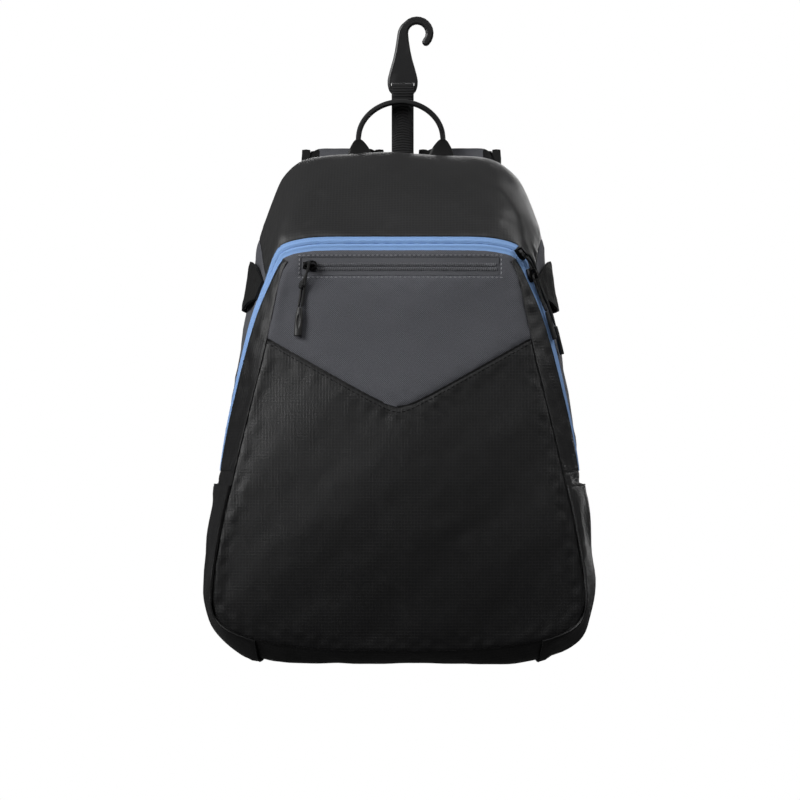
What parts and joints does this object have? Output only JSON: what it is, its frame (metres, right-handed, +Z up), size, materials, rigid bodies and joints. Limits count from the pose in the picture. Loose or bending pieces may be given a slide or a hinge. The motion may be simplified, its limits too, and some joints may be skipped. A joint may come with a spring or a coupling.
{
  "type": "baseball bat backpack",
  "caption": "Hooded sports backpack with side bat sleeves and straps, an arched front zip, a slanting chevron face, padded shoulder straps and a fence hook.",
  "frame": {"origin": "the top of the inside of the hook's crook, where the fence wire lies while the bag hangs", "axes": "+Z up, -Y towards the front face, +X to the right as seen from the front"},
  "size_m": [0.3446, 0.2384, 0.5821],
  "materials": {
    "ripstop": "black ripstop nylon with a fine raised grid",
    "hood_cloth": "smooth black nylon with a soft sheen",
    "grey_cloth": "dark grey woven polyester",
    "padding": "padded cloth, grey on the straps' outer face and black mesh on the wearer's side",
    "webbing": "black ribbed webbing and cord",
    "blue_tape": "light blue woven zip tape",
    "blue_coil": "blue nylon coil",
    "grey_tape": "grey woven zip tape",
    "grey_coil": "dark grey nylon coil",
    "plastic": "black moulded nylon",
    "black_metal": "black plated zinc with sharp highlights",
    "rubber": "black moulded rubber"
  },
  "bodies": {
    "root": {"back_panel": "padding", "base_panel": "ripstop", "bat_sleeve_left": "ripstop", "bat_sleeve_right": "ripstop", "bat_strap_left": "webbing", "bat_strap_right": "webbing", "face_lower": "ripstop", "face_upper": "grey_cloth", "fence_hook": "plastic", "front_gusset_left": "ripstop", "front_gusset_right": "ripstop", "haul_anchor_left": "rubber", "haul_anchor_right": "rubber", "haul_loop": "webbing", "hood_panel": "hood_cloth", "hook_strap": "webbing", "main_lower_pull_cord": "webbing", "main_lower_pull_grip": "rubber", "main_lower_slider": "black_metal", "main_upper_pull_cord": "webbing", "main_upper_pull_grip": "rubber", "main_upper_slider": "black_metal", "main_zip_coil": "blue_coil", "main_zip_tape_back": "blue_tape", "main_zip_tape_front": "blue_tape", "pocket_pull_cord": "webbing", "pocket_pull_grip": "rubber", "pocket_slider": "black_metal", "pocket_zip_coil": "grey_coil", "pocket_zip_tape": "grey_tape", "shoulder_strap_left": "padding", "shoulder_strap_right": "padding", "side_panel_left": "grey_cloth", "side_panel_right": "grey_cloth", "strap_anchor_left": "webbing", "strap_anchor_right": "webbing", "strap_binding_left": "webbing", "strap_binding_right": "webbing", "strap_lock_left": "plastic", "strap_lock_right": "plastic", "strap_tab_left": "webbing", "strap_tab_right": "webbing", "strap_webbing_left": "webbing", "strap_webbing_right": "webbing"}
  },
  "joints": []
}
